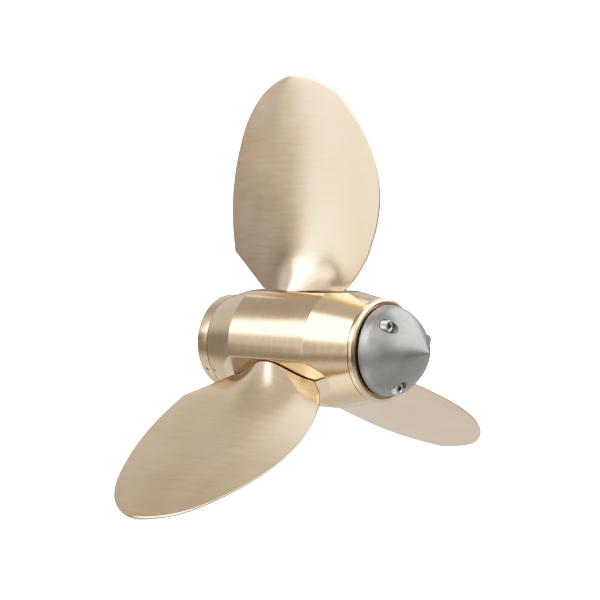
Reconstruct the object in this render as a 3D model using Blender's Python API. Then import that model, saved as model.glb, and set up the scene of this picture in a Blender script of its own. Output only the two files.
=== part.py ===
"""Feathering ship propeller with three flat blades, a bronze hub and a zinc cone at its tail.

The X axis is the shaft axis. The origin is the centre of the forward face, where the
propeller shaft enters, and +X runs aft to the point of the cone. Blade 1 points up (+Z).
The blades stand feathered, edge on to the water. Each one turns in the hub about its own
radial axis, and a mitre gear on its root runs on a gear that is fixed to the shaft boss,
so the blades turn together as the hub turns on the boss.
"""
import math

import bmesh
import bpy
from mathutils import Matrix, Vector

BLADES = 3
TIP_RADIUS = 0.2162
BLADE_AXIS_X = 0.080
TOUCH_GAP = 0.0003
TURNED_STEPS = 40
BORE_STEPS = 32
SHARP_ANGLE = math.radians(30)
WELD = 1e-6

# Hub barrel, from the front seam to the tail seam
HUB_RADIUS = 0.0479
HUB_FRONT_X = 0.0119
HUB_FRONT_RADIUS = 0.0396
HUB_SHOULDER_X = 0.0438
HUB_TAPER_X = 0.1234
HUB_TAIL_X = 0.1614
HUB_TAIL_RADIUS = 0.0400
FLAT_HEIGHT = 0.0442
FLAT_HALF_WIDTH = 0.030
FLAT_CUT_TOP = 0.056
CAVITY_RADIUS = 0.0330
CAVITY_X = 0.0440
POCKET_RADIUS = 0.0270
POCKET_FLOOR = 0.0200
POCKET_TOP = 0.0335

# Shaft boss and the ring that covers its flange
JOURNAL_RADIUS = 0.0260
JOURNAL_PLAY = 0.0004
SPIGOT_RADIUS = 0.0155
SPIGOT_END_X = 0.0620
SNOUT_RADIUS = 0.0197
BORE_RADIUS = 0.0125
BORE_TAPER = 0.05
KEYWAY_WIDTH = 0.0080
KEYWAY_DEPTH = 0.0033
BOSS_FLANGE_RADIUS = 0.0350
RING_PLATE = 0.0060
RING_LENGTH = 0.0116
RING_FRONT_RADIUS = 0.0390
RING_CHAMFER = 0.0006

# Blade stem and the blade above it
STEM_RADIUS = 0.0150
STEM_PLAY = 0.0004
STEM_BORE_FLOOR = 0.0300
BLADE_BASE = 0.0452
EDGE_THICKNESS = 0.0018
ROOT_CORE = 0.0070
TIP_CORE = 0.0026
CORE_PER_CHORD = 0.05
BULGE_HEIGHT = 0.0192
BULGE_CENTRE = 0.0025
BULGE_AFT = (0.0455, 1.48)
BULGE_FORWARD = (0.0425, 2.2)
BULGE_FADE = 0.055
BULGE_FADE_POWER = 2.0
SHOULDER_HEIGHT = 0.0753
ROOT_AFT_EDGE = ((0.0480, BLADE_BASE), (0.0583, 0.0538), (0.0663, 0.0633), (0.0740, SHOULDER_HEIGHT))
ROOT_FORWARD_EDGE = ((-0.0400, BLADE_BASE), (-0.0706, SHOULDER_HEIGHT))
AFT_EDGE = ((0.0740, SHOULDER_HEIGHT), (0.0820, 0.0958), (0.0856, 0.1210), (0.0799, 0.1500),
            (0.0620, 0.1813), (0.0360, 0.2056), (0.0, TIP_RADIUS))
FORWARD_EDGE = ((-0.0706, SHOULDER_HEIGHT), (-0.0722, 0.0970), (-0.0710, 0.1220), (-0.0641, 0.1525),
                (-0.0502, 0.1840), (-0.0290, 0.2062), (0.0, TIP_RADIUS))
ROOT_ROWS = 5
BLADE_ROWS = 15
CHORD_STEPS = 12

# Mitre gears: the pitch cones share their point where the blade axes cross the shaft axis
GEAR_TEETH = 15
PITCH_ANGLE = math.radians(45)
PITCH_RADIUS = 0.0240
GEAR_FACE = 0.0080
TOOTH_RISE = math.radians(3.8)
TOOTH_SINK = math.radians(5.6)
TOOTH_HALF_ANGLES = (math.radians(7.6), math.radians(2.9))
GEAR_BACK_RADIUS = 0.0225
GEAR_FLANGE_RADIUS = 0.0300
GEAR_FLANGE = 0.0045
GEAR_RIM_HEIGHT = 0.0295
GEAR_TOE_HEIGHT = 0.0190
GEAR_SCREW_SEAT = 0.0255

# Zinc cone and the cap that carries it
CAP_RIM_X = 0.1664
CAP_RIM_RADIUS = 0.0379
CAP_CHAMFER_X = 0.1652
CAP_SPIGOT_X = 0.1500
CONE_SEAT_RADIUS = 0.0300
CONE_BASE_X = 0.1680
CONE_BASE_RADIUS = 0.0344
CONE_RIDGE_X = 0.1746
CONE_RIDGE_RADIUS = 0.0348
CONE_POINT_X = 0.2087
CONE_BULGE = 0.0062
CONE_STEPS = 8
CONE_SCREW_CIRCLE = 0.0285
CONE_SCREW_ANGLE = math.radians(42.5)
CONE_SCREW_TOP_X = 0.1868
COUNTERBORE_RADIUS = 0.0062
COUNTERBORE_STEPS = 24

# Screws: head radius, head height, shank radius, shank length, socket corner radius
CONE_SCREW = (0.0050, 0.0060, 0.0030, 0.0230, 0.0028)
RING_SCREW = (0.0042, 0.0050, 0.0025, 0.0046, 0.0024)
GEAR_SCREW = (0.0065, 0.0060, 0.0040, 0.0170, 0.0034)
SCREW_STEPS = 12
SCREW_CHAMFER = 0.0006
RING_SCREWS = 6
RING_SCREW_CIRCLE = 0.0275
INDEX_SCREW_RADIUS = 0.0011
INDEX_SCREW_LENGTH = 0.0030
INDEX_RING_X = 0.0063
INDEX_HUB_X = 0.0152

# Shaft nut and its washer
WASHER_RADIUS = 0.0150
WASHER_THICKNESS = 0.0020
NUT_RADIUS = 0.0139
NUT_HEIGHT = 0.0120
NUT_CHAMFER = 0.0012
THREAD_RADIUS = 0.0080
NUT_STEPS = 24

BRONZE = ("bronze", (0.62, 0.49, 0.33), 0.32, 1.0)
STEEL = ("stainless_steel", (0.62, 0.62, 0.60), 0.30, 1.0)
ZINC = ("zinc", (0.37, 0.37, 0.36), 0.55, 0.9)


def clear_scene():
    """Empty the scene that the script starts in."""
    for item in list(bpy.data.objects):
        bpy.data.objects.remove(item)


def material(name, finish):
    """A Principled material from a finish: its name, colour, roughness and metallic value."""
    _, colour, roughness, metallic = finish
    made = bpy.data.materials.new(name)
    made.use_nodes = True
    shader = made.node_tree.nodes["Principled BSDF"]
    shader.inputs["Base Color"].default_value = (*colour, 1.0)
    shader.inputs["Roughness"].default_value = roughness
    shader.inputs["Metallic"].default_value = metallic
    return made


def mesh_from(bm, name):
    """Turn a bmesh into a mesh whose faces point out and whose round sides are smooth."""
    bmesh.ops.remove_doubles(bm, verts=bm.verts, dist=WELD)
    bmesh.ops.recalc_face_normals(bm, faces=bm.faces)
    mesh = bpy.data.meshes.new(name)
    bm.to_mesh(mesh)
    bm.free()
    mesh.shade_smooth()
    mesh.set_sharp_from_angle(angle=SHARP_ANGLE)
    return mesh


def place(name, mesh, finish, parent=None, matrix=None):
    """Put a mesh in the scene as a named sub-part with a material of its own."""
    part = bpy.data.objects.new(name, mesh)
    bpy.context.scene.collection.objects.link(part)
    part.parent = parent
    part.matrix_local = matrix or Matrix()
    if not mesh.materials:
        mesh.materials.append(None)
    part.material_slots[0].link = "OBJECT"
    part.material_slots[0].material = material(f"{name}_{finish[0]}", finish)
    return part


def axis_empty(name, parent=None, matrix=None):
    """An empty that marks an axis and carries what turns about it."""
    empty = bpy.data.objects.new(name, None)
    bpy.context.scene.collection.objects.link(empty)
    empty.parent = parent
    empty.matrix_local = matrix or Matrix()
    return empty


def cut(part, mesh, operation="DIFFERENCE"):
    """Cut a mesh out of a part, or join it on, with a Boolean in the part's own axes."""
    tool = bpy.data.objects.new(f"{mesh.name}_tool", mesh)
    bpy.context.scene.collection.objects.link(tool)
    tool.parent = part
    tool.hide_render = True
    tool.display_type = "WIRE"
    boolean = part.modifiers.new(mesh.name, "BOOLEAN")
    boolean.operation = operation
    boolean.solver = "EXACT"
    boolean.object = tool


def turn(bm, profile, steps=TURNED_STEPS):
    """Turn a closed outline of (x, radius) points about the X axis."""
    corners = [bm.verts.new((x, 0.0, radius)) for x, radius in profile]
    edges = [bm.edges.new(pair) for pair in zip(corners, corners[1:] + corners[:1])
             if pair[0].co.z > 0 or pair[1].co.z > 0]
    bmesh.ops.spin(bm, geom=corners + edges, cent=(0, 0, 0), axis=(1, 0, 0),
                   angle=math.tau, steps=steps, use_merge=False)


def turned(name, profile, steps=TURNED_STEPS):
    """A solid turned about the X axis."""
    bm = bmesh.new()
    turn(bm, profile, steps)
    return mesh_from(bm, name)


def add_cylinder(bm, radius, low, high, matrix, steps=BORE_STEPS):
    """Add a cylinder along the local Z axis of a matrix, with a flat side towards +X."""
    centre = Matrix.Translation((0, 0, (low + high) / 2)) @ Matrix.Rotation(math.pi / steps, 4, "Z")
    bmesh.ops.create_cone(bm, cap_ends=True, segments=steps, radius1=radius, radius2=radius,
                          depth=high - low, matrix=matrix @ centre)


def around_x(index, count=BLADES, start=0.0):
    """The turn about the X axis that takes +Z to place number index of count."""
    return Matrix.Rotation(start + math.tau * index / count, 4, "X")


def radial_frame(index):
    """The frame of one blade: Z runs out along its axis and X runs aft."""
    return Matrix.Translation((BLADE_AXIS_X, 0, 0)) @ around_x(index)


def along_x(radius, angle):
    """A frame whose Z axis runs aft, at a radius and an angle about the shaft axis."""
    centre = Matrix.Rotation(angle, 4, "X") @ Vector((0, 0, radius))
    return Matrix.Translation(centre) @ Matrix.Rotation(math.pi / 2, 4, "Y")


def cylinders(name, radius, low, high, frames, steps=BORE_STEPS):
    """Separate equal cylinders, one in each frame, as one cutter mesh."""
    bm = bmesh.new()
    for frame in frames:
        add_cylinder(bm, radius, low, high, frame, steps)
    return mesh_from(bm, name)


def boxes(name, low, high, frames):
    """Separate equal boxes between two corners, one in each frame, as one cutter mesh."""
    bm = bmesh.new()
    middle = (Vector(low) + Vector(high)) / 2
    size = Matrix.Diagonal((*(Vector(high) - Vector(low)), 1))
    for frame in frames:
        bmesh.ops.create_cube(bm, size=1, matrix=frame @ Matrix.Translation(middle) @ size)
    return mesh_from(bm, name)


def hub_body(parent):
    """The barrel: two cones and a cylinder with a flat, a bore and a pocket for each blade."""
    bore = JOURNAL_RADIUS + JOURNAL_PLAY
    profile = ((HUB_FRONT_X, bore), (HUB_FRONT_X, HUB_FRONT_RADIUS),
               (HUB_SHOULDER_X, HUB_RADIUS), (HUB_TAPER_X, HUB_RADIUS),
               (HUB_TAIL_X, HUB_TAIL_RADIUS), (HUB_TAIL_X, CAVITY_RADIUS),
               (CAVITY_X, CAVITY_RADIUS), (CAVITY_X, bore))
    hub = place("hub_body", turned("hub_body", profile), BRONZE, parent)
    frames = [radial_frame(index) for index in range(BLADES)]
    reach = BLADE_AXIS_X
    cut(hub, boxes("hub_flats", (-reach, -FLAT_HALF_WIDTH, FLAT_HEIGHT),
                   (reach, FLAT_HALF_WIDTH, FLAT_CUT_TOP), frames))
    cut(hub, cylinders("hub_pockets", POCKET_RADIUS, POCKET_FLOOR, POCKET_TOP, frames))
    cut(hub, cylinders("hub_bores", STEM_RADIUS + STEM_PLAY, STEM_BORE_FLOOR, HUB_RADIUS, frames))
    cut(hub, index_hole("hub_index_hole", INDEX_HUB_X, slope_radius(INDEX_HUB_X)))
    return hub


def slope_radius(x):
    """The hub's radius at a place on its front cone."""
    share = (x - HUB_FRONT_X) / (HUB_SHOULDER_X - HUB_FRONT_X)
    return HUB_FRONT_RADIUS + share * (HUB_RADIUS - HUB_FRONT_RADIUS)


def index_frame(x, radius):
    """The frame of an index screw: Z runs out from the surface, in line with blade 2."""
    return around_x(1) @ Matrix.Translation((x, 0, radius))


def index_hole(name, x, radius):
    """The blind hole of an index screw."""
    return cylinders(name, INDEX_SCREW_RADIUS + TOUCH_GAP, -INDEX_SCREW_LENGTH - TOUCH_GAP,
                     INDEX_SCREW_LENGTH, [index_frame(x, radius)], SCREW_STEPS)


def index_screw(name, x, radius, parent):
    """A small headless screw, set just under the surface."""
    sunk = TOUCH_GAP
    mesh = cylinders(name, INDEX_SCREW_RADIUS, -INDEX_SCREW_LENGTH, -sunk,
                     [index_frame(x, radius)], SCREW_STEPS)
    return place(name, mesh, BRONZE, parent)


def front_ring():
    """The ring ahead of the hub: a plate with a rim that covers the boss flange."""
    inner = SNOUT_RADIUS + TOUCH_GAP
    rim = BOSS_FLANGE_RADIUS + TOUCH_GAP
    profile = ((0, inner), (0, RING_FRONT_RADIUS - RING_CHAMFER), (RING_CHAMFER, RING_FRONT_RADIUS),
               (RING_LENGTH, HUB_FRONT_RADIUS), (RING_LENGTH, rim), (RING_PLATE, rim),
               (RING_PLATE, inner))
    ring = place("front_ring", turned("front_ring", profile), BRONZE)
    head, height, shank, _, _ = RING_SCREW
    frames = ring_screw_frames()
    cut(ring, cylinders("ring_screw_heads", head + TOUCH_GAP, -height, height + 2 * TOUCH_GAP,
                        frames, SCREW_STEPS))
    cut(ring, cylinders("ring_screw_holes", shank + TOUCH_GAP, 0, RING_LENGTH, frames, SCREW_STEPS))
    cut(ring, index_hole("ring_index_hole", INDEX_RING_X, RING_FRONT_RADIUS))
    return ring


def ring_screw_frames():
    """The places of the screws that hold the front ring to the boss."""
    return [along_x(RING_SCREW_CIRCLE, math.tau * index / RING_SCREWS) for index in range(RING_SCREWS)]


def shaft_boss():
    """The boss: a flanged journal with a taper bore and a keyway for the propeller shaft."""
    flange_x = RING_PLATE + TOUCH_GAP
    end_radius = BORE_RADIUS - BORE_TAPER * SPIGOT_END_X
    profile = ((0, BORE_RADIUS), (0, SNOUT_RADIUS), (flange_x, SNOUT_RADIUS),
               (flange_x, BOSS_FLANGE_RADIUS), (RING_LENGTH, BOSS_FLANGE_RADIUS),
               (RING_LENGTH, JOURNAL_RADIUS), (CAVITY_X, JOURNAL_RADIUS),
               (CAVITY_X, SPIGOT_RADIUS), (SPIGOT_END_X, SPIGOT_RADIUS), (SPIGOT_END_X, end_radius))
    boss = place("shaft_boss", turned("shaft_boss", profile, BORE_STEPS), BRONZE)
    cut(boss, boxes("keyway", (-KEYWAY_DEPTH, -KEYWAY_WIDTH / 2, 0),
                    (SPIGOT_END_X + KEYWAY_DEPTH, KEYWAY_WIDTH / 2, BORE_RADIUS + KEYWAY_DEPTH),
                    [keyway_frame()]))
    _, _, shank, length, _ = RING_SCREW
    cut(boss, cylinders("boss_screw_holes", shank + TOUCH_GAP, 0, RING_LENGTH + length,
                        ring_screw_frames(), SCREW_STEPS))
    return boss


def keyway_frame():
    """The keyway's frame, which leans with the taper of the bore."""
    return Matrix.Rotation(math.atan(BORE_TAPER), 4, "Y")


def spherical_ring(bm, distance, angles, turns):
    """A ring of vertices at one distance from the pitch cones' point, leaning from +Z."""
    ring = []
    for lean, spin in zip(angles, turns):
        flat = distance * math.sin(lean)
        corner = (flat * math.cos(spin), flat * math.sin(spin), distance * math.cos(lean))
        ring.append(bm.verts.new(corner))
    return ring


def flat_ring(bm, radius, height, turns):
    """A level ring of vertices about +Z."""
    return [bm.verts.new((radius * math.cos(spin), radius * math.sin(spin), height)) for spin in turns]


def bridge(bm, rings, next_rings):
    """Join each ring of vertices to the one that follows it."""
    for ring, following in zip(rings, next_rings):
        for start in range(len(ring)):
            end = (start + 1) % len(ring)
            bm.faces.new((ring[start], ring[end], following[end], following[start]))


def mitre_gear(name, phase, rings_inside):
    """A straight-toothed bevel gear about +Z, its pitch cone's point at the local origin.

    Every tooth has a root and a tip on each flank. rings_inside lists (radius, height)
    rings that lead from the heel of the teeth round the back and the bore to their toe.
    """
    root_half, tip_half = TOOTH_HALF_ANGLES
    steps = ((-root_half, -TOOTH_SINK), (-tip_half, TOOTH_RISE),
             (tip_half, TOOTH_RISE), (root_half, -TOOTH_SINK))
    turns = []
    leans = []
    for tooth in range(GEAR_TEETH):
        centre = math.tau * (tooth + phase) / GEAR_TEETH
        turns += [centre + offset for offset, _ in steps]
        leans += [PITCH_ANGLE + lift for _, lift in steps]
    heel = PITCH_RADIUS / math.sin(PITCH_ANGLE)
    bm = bmesh.new()
    rings = [spherical_ring(bm, heel - GEAR_FACE, leans, turns), spherical_ring(bm, heel, leans, turns)]
    rings += [flat_ring(bm, radius, height, turns) for radius, height in rings_inside]
    bridge(bm, rings, rings[1:] + rings[:1])
    return mesh_from(bm, name)


def drive_gear():
    """The gear that is fixed to the boss; its flange keeps the hub on the journal."""
    back = BLADE_AXIS_X - CAVITY_X - TOUCH_GAP
    bore = SPIGOT_RADIUS + TOUCH_GAP
    rings = ((GEAR_FLANGE_RADIUS, back - GEAR_FLANGE), (GEAR_FLANGE_RADIUS, back),
             (bore, back), (bore, GEAR_TOE_HEIGHT))
    facing_forward = Matrix.Translation((BLADE_AXIS_X, 0, 0)) @ Matrix.Rotation(-math.pi / 2, 4, "Y")
    return place("drive_gear", mitre_gear("drive_gear", 0.0, rings), STEEL, None, facing_forward)


def blade_gear_mesh():
    """The gear under a blade, with a bore and a seat for the screw that holds it."""
    head, _, shank, _, _ = GEAR_SCREW
    seat = head + TOUCH_GAP
    bore = shank + TOUCH_GAP
    back = POCKET_TOP - TOUCH_GAP
    rings = ((GEAR_BACK_RADIUS, GEAR_RIM_HEIGHT), (GEAR_BACK_RADIUS, back), (bore, back),
             (bore, GEAR_SCREW_SEAT), (seat, GEAR_SCREW_SEAT), (seat, GEAR_TOE_HEIGHT))
    return mitre_gear("blade_gear", 0.5, rings)


def hex_ring(bm, corner_radius, height, turns):
    """A level ring of vertices on a hexagon about +Z, with a corner at every sixth of a turn."""
    sector = math.pi / 3
    ring = []
    for spin in turns:
        radius = corner_radius * math.cos(sector / 2) / math.cos((spin % sector) - sector / 2)
        ring.append(bm.verts.new((radius * math.cos(spin), radius * math.sin(spin), height)))
    return ring


def screw_mesh(name, sizes):
    """A socket screw along +Z whose head's top is at the origin and whose shank runs down."""
    head, height, shank, length, socket = sizes
    depth = height / 2
    turns = [math.tau * step / SCREW_STEPS for step in range(SCREW_STEPS)]
    bm = bmesh.new()
    outline = ((0, -height - length), (shank, -height - length), (shank, -height), (head, -height),
               (head, -SCREW_CHAMFER), (head - SCREW_CHAMFER, 0))
    rings = [flat_ring(bm, radius, level, turns) for radius, level in outline]
    rings += [hex_ring(bm, socket, level, turns) for level in (0, -depth)]
    rings.append(flat_ring(bm, 0, -depth, turns))
    bridge(bm, rings, rings[1:])
    return mesh_from(bm, name)


def smooth_curve(points, steps, onward):
    """Points on a smooth curve through the given ones, which would go on to the point onward."""
    knots = [Vector(point) for point in (*points, onward)]
    knots.insert(0, 2 * knots[0] - knots[1])
    curve = []
    stretches = len(knots) - 3
    for step in range(steps + 1):
        place_on = stretches * step / steps
        index = min(int(place_on), stretches - 1)
        t = place_on - index
        before, start, end, after = knots[index:index + 4]
        curve.append(0.5 * (2 * start + (end - before) * t
                            + (2 * before - 5 * start + 4 * end - after) * t ** 2
                            + (3 * start - before - 3 * end + after) * t ** 3))
    return curve


def blade_edges():
    """The aft and the forward edge of a blade, row by row from its base to its tip."""
    root_aft = smooth_curve(ROOT_AFT_EDGE, ROOT_ROWS, AFT_EDGE[1])
    aft = smooth_curve(AFT_EDGE, BLADE_ROWS, FORWARD_EDGE[-2])
    base, shoulder = (Vector(point) for point in ROOT_FORWARD_EDGE)
    root_forward = [base.lerp(shoulder, row / ROOT_ROWS) for row in range(ROOT_ROWS + 1)]
    forward = smooth_curve(FORWARD_EDGE, BLADE_ROWS, AFT_EDGE[-2])
    return root_aft[:-1] + aft, root_forward[:-1] + forward


def half_thickness(x, height, share, chord):
    """Half the blade's thickness: a thin lens, and a rounded bulge that fades above the base.

    share runs from 0 at the forward edge to 1 at the aft edge of a chord.
    """
    up = (height - BLADE_BASE) / (TIP_RADIUS - BLADE_BASE)
    core = ROOT_CORE + (TIP_CORE - ROOT_CORE) * up
    swell = min(core - EDGE_THICKNESS, chord * CORE_PER_CHORD)
    lens = EDGE_THICKNESS + swell * 4 * share * (1 - share)
    reach, power = BULGE_AFT if x > BULGE_CENTRE else BULGE_FORWARD
    across = math.cos(math.pi / 2 * min(abs(x - BULGE_CENTRE) / reach, 1.0)) ** power
    fade = max(0.0, 1 - (height - BLADE_BASE) / BULGE_FADE) ** BULGE_FADE_POWER
    return lens / 2 + (BULGE_HEIGHT - ROOT_CORE / 2) * across * fade


def blade_mesh():
    """The blade above its base: rows of chords between the two edges, skinned on both sides."""
    bm = bmesh.new()
    rows = []
    for aft, forward in zip(*blade_edges()):
        near = []
        far = []
        for step in range(CHORD_STEPS + 1):
            share = step / CHORD_STEPS
            x, height = forward.lerp(aft, share)
            side = half_thickness(x, height, share, (aft - forward).length)
            near.append(bm.verts.new((x, -side, height)))
            far.append(bm.verts.new((x, side, height)))
        rows.append(near + far[::-1])
    bridge(bm, rows, rows[1:])
    bm.faces.new(rows[0])
    return mesh_from(bm, "blade")


def blade(index, parent, mesh, stem, hole):
    """One blade with its stem, and the tapped hole for the screw of its gear."""
    part = place(f"blade_{index + 1}", mesh, BRONZE, parent)
    cut(part, stem, "UNION")
    cut(part, hole)
    return part


def blades(hub_axis):
    """The three blades, each with its gear and its screw, on axes that run out from the hub."""
    head, height, shank, length, _ = GEAR_SCREW
    level = [Matrix()]
    mesh = blade_mesh()
    stem = cylinders("blade_stem", STEM_RADIUS, POCKET_TOP, BLADE_BASE + SCREW_CHAMFER, level)
    hole = cylinders("stem_hole", shank + TOUCH_GAP, 0, GEAR_SCREW_SEAT + length + 2 * TOUCH_GAP,
                     level, SCREW_STEPS)
    gear = blade_gear_mesh()
    screw = screw_mesh("gear_screw", GEAR_SCREW)
    head_top = GEAR_SCREW_SEAT - TOUCH_GAP - height
    inward = Matrix.Translation((0, 0, head_top)) @ Matrix.Rotation(math.pi, 4, "X")
    for index in range(BLADES):
        axis = axis_empty(f"blade_axis_{index + 1}", hub_axis, radial_frame(index))
        blade(index, axis, mesh, stem, hole)
        place(f"blade_gear_{index + 1}", gear, STEEL, axis, Matrix.Rotation(math.pi, 4, "Z"))
        place(f"blade_gear_screw_{index + 1}", screw, STEEL, axis, inward)


def tail_cap(parent):
    """The cap that closes the hub's tail, with a raised seat for the zinc cone."""
    front = HUB_TAIL_X + TOUCH_GAP
    spigot = CAVITY_RADIUS - JOURNAL_PLAY
    seat_x = CONE_BASE_X - TOUCH_GAP
    profile = ((CAP_SPIGOT_X, 0), (CAP_SPIGOT_X, spigot), (front, spigot), (front, HUB_TAIL_RADIUS),
               (CAP_CHAMFER_X, HUB_TAIL_RADIUS), (CAP_RIM_X, CAP_RIM_RADIUS),
               (CAP_RIM_X, CONE_SEAT_RADIUS), (seat_x, CONE_SEAT_RADIUS), (seat_x, 0))
    cap = place("tail_cap", turned("tail_cap", profile), BRONZE, parent)
    _, _, shank, _, _ = CONE_SCREW
    cut(cap, cylinders("cap_screw_holes", shank + TOUCH_GAP, cone_screw_end() - TOUCH_GAP,
                       CONE_POINT_X, cone_screw_frames(), SCREW_STEPS))
    return cap


def cone_screw_end():
    """How far forward the cone's screws reach."""
    _, height, _, length, _ = CONE_SCREW
    return CONE_SCREW_TOP_X - height - length


def cone_screw_frames():
    """The places of the screws that hold the zinc cone."""
    return [along_x(CONE_SCREW_CIRCLE, CONE_SCREW_ANGLE + math.tau * index / BLADES)
            for index in range(BLADES)]


def zinc_cone(parent):
    """The sacrificial cone: a short skirt, then a bullet shape with three counterbored holes."""
    profile = [(CONE_BASE_X, 0), (CONE_BASE_X, CONE_BASE_RADIUS)]
    for step in range(CONE_STEPS + 1):
        share = step / CONE_STEPS
        radius = CONE_RIDGE_RADIUS * (1 - share) + CONE_BULGE * 4 * share * (1 - share)
        profile.append((CONE_RIDGE_X + (CONE_POINT_X - CONE_RIDGE_X) * share, radius))
    cone = place("anode_cone", turned("anode_cone", profile), ZINC, parent)
    _, height, shank, _, _ = CONE_SCREW
    seat = CONE_SCREW_TOP_X - height - TOUCH_GAP
    cut(cone, cylinders("cone_counterbores", COUNTERBORE_RADIUS, seat, CONE_POINT_X,
                        cone_screw_frames(), COUNTERBORE_STEPS))
    cut(cone, cylinders("cone_screw_holes", shank + TOUCH_GAP, HUB_TAIL_X, CONE_POINT_X,
                        cone_screw_frames(), SCREW_STEPS))
    return cone


def screws_along_x(name, sizes, frames, top_x, facing_aft, parent=None):
    """A set of socket screws parallel to the shaft, with their heads' tops at one place."""
    mesh = screw_mesh(name, sizes)
    flip = Matrix() if facing_aft else Matrix.Rotation(math.pi, 4, "X")
    for index, frame in enumerate(frames):
        matrix = frame @ Matrix.Translation((0, 0, top_x)) @ flip
        place(f"{name}_{index + 1}", mesh, STEEL, parent, matrix)


def shaft_nut():
    """The hexagon nut and the washer that draw the boss onto the shaft's taper."""
    washer_x = SPIGOT_END_X + TOUCH_GAP
    nut_x = washer_x + WASHER_THICKNESS + TOUCH_GAP
    washer = ((washer_x, THREAD_RADIUS + TOUCH_GAP), (washer_x, WASHER_RADIUS),
              (nut_x - TOUCH_GAP, WASHER_RADIUS), (nut_x - TOUCH_GAP, THREAD_RADIUS + TOUCH_GAP))
    place("nut_washer", turned("nut_washer", washer, NUT_STEPS), STEEL)
    turns = [math.tau * step / NUT_STEPS for step in range(NUT_STEPS)]
    bm = bmesh.new()
    outline = ((NUT_RADIUS - NUT_CHAMFER, 0), (NUT_RADIUS, NUT_CHAMFER),
               (NUT_RADIUS, NUT_HEIGHT - NUT_CHAMFER), (NUT_RADIUS - NUT_CHAMFER, NUT_HEIGHT))
    rings = [flat_ring(bm, THREAD_RADIUS, 0, turns)]
    rings += [hex_ring(bm, radius, level, turns) for radius, level in outline]
    rings.append(flat_ring(bm, THREAD_RADIUS, NUT_HEIGHT, turns))
    bridge(bm, rings, rings[1:] + rings[:1])
    matrix = Matrix.Translation((nut_x, 0, 0)) @ along_x(0, 0)
    place("shaft_nut", mesh_from(bm, "shaft_nut"), STEEL, None, matrix)


def build():
    """Model the whole propeller."""
    clear_scene()
    shaft_boss()
    front_ring()
    screws_along_x("front_ring_screw", RING_SCREW, ring_screw_frames(), TOUCH_GAP, False)
    index_screw("ring_index_screw", INDEX_RING_X, RING_FRONT_RADIUS, None)
    drive_gear()
    shaft_nut()
    hub_axis = axis_empty("hub_axis")
    hub_body(hub_axis)
    index_screw("hub_index_screw", INDEX_HUB_X, slope_radius(INDEX_HUB_X), hub_axis)
    blades(hub_axis)
    tail_cap(hub_axis)
    zinc_cone(hub_axis)
    screws_along_x("anode_screw", CONE_SCREW, cone_screw_frames(), CONE_SCREW_TOP_X, True, hub_axis)


build()
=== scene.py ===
# %% [markdown]
# A feathering ship propeller: three flat bronze blades stand edge on to the water on a
# barrel-shaped hub, and a grey zinc cone closes its tail. This lesson dresses the packed
# model. Each step says what a piece is on the real propeller, how it could be made in
# Blender, and why it is made the way it is here.
#
# The imported model is loaded first, as a fixed frame. Its X axis is the shaft axis, with the zinc cone
# at +X, and Z is up. All lengths are in metres. The dressed one has to stay inside it.

# %% Load the frame
import math

import bmesh
import bpy
import numpy as np
from mathutils import Matrix, Vector


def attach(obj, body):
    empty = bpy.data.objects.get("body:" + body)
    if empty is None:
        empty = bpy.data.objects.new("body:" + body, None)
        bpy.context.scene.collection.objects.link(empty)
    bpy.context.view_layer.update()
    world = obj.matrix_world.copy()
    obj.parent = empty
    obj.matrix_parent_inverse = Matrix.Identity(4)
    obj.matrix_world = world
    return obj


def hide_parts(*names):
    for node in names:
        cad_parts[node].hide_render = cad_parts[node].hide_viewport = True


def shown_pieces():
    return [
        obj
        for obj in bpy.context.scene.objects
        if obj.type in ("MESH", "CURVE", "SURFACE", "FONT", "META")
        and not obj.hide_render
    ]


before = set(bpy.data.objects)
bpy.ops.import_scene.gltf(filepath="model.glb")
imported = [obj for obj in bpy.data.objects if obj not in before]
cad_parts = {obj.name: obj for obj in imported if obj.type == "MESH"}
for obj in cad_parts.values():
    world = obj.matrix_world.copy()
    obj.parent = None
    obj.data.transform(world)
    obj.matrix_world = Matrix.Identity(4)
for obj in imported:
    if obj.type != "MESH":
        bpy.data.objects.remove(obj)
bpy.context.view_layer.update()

# %% [markdown]
# The camera comes first, so that every later step can be judged in the same view. Its
# place was worked out from the outline of the blades and the rings of the hub. It looks
# at the tail of the propeller from a little above, through a long lens, and it leans a
# little to one side.

# %% Camera
CAMERA_PLACE = Vector((0.9435, -0.9658, 0.1343))
CAMERA_AZIMUTH = math.radians(41.80)
CAMERA_ELEVATION = math.radians(4.316)
CAMERA_ROLL = math.radians(-1.696)
LENS_MM = 96.98


def add_camera():
    """A camera that is tilted down from the horizon, turned about Z and rolled about its view."""
    data = bpy.data.cameras.new("camera")
    data.lens = LENS_MM
    camera = bpy.data.objects.new("camera", data)
    bpy.context.scene.collection.objects.link(camera)
    turn = Matrix.Rotation(CAMERA_AZIMUTH, 4, "Z")
    tilt = Matrix.Rotation(math.pi / 2 - CAMERA_ELEVATION, 4, "X")
    roll = Matrix.Rotation(CAMERA_ROLL, 4, "Z")
    camera.matrix_world = Matrix.Translation(CAMERA_PLACE) @ turn @ tilt @ roll
    bpy.context.scene.camera = camera
    return camera


print("camera at", tuple(add_camera().location))

# %% [markdown]
# Every new piece is a surface worked out with numpy: a grid of points, row by row, that
# one function turns into a mesh. Its columns close on themselves, and its rows can too.
# Points that fall together, as at a pole or along a thin edge, are merged. If the faces
# turn out to point inwards, which the sign of the enclosed volume tells, they are flipped.

# %% From a grid of points to a mesh
SHARP_ANGLE = math.radians(24)
WELD = 2e-6


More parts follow.
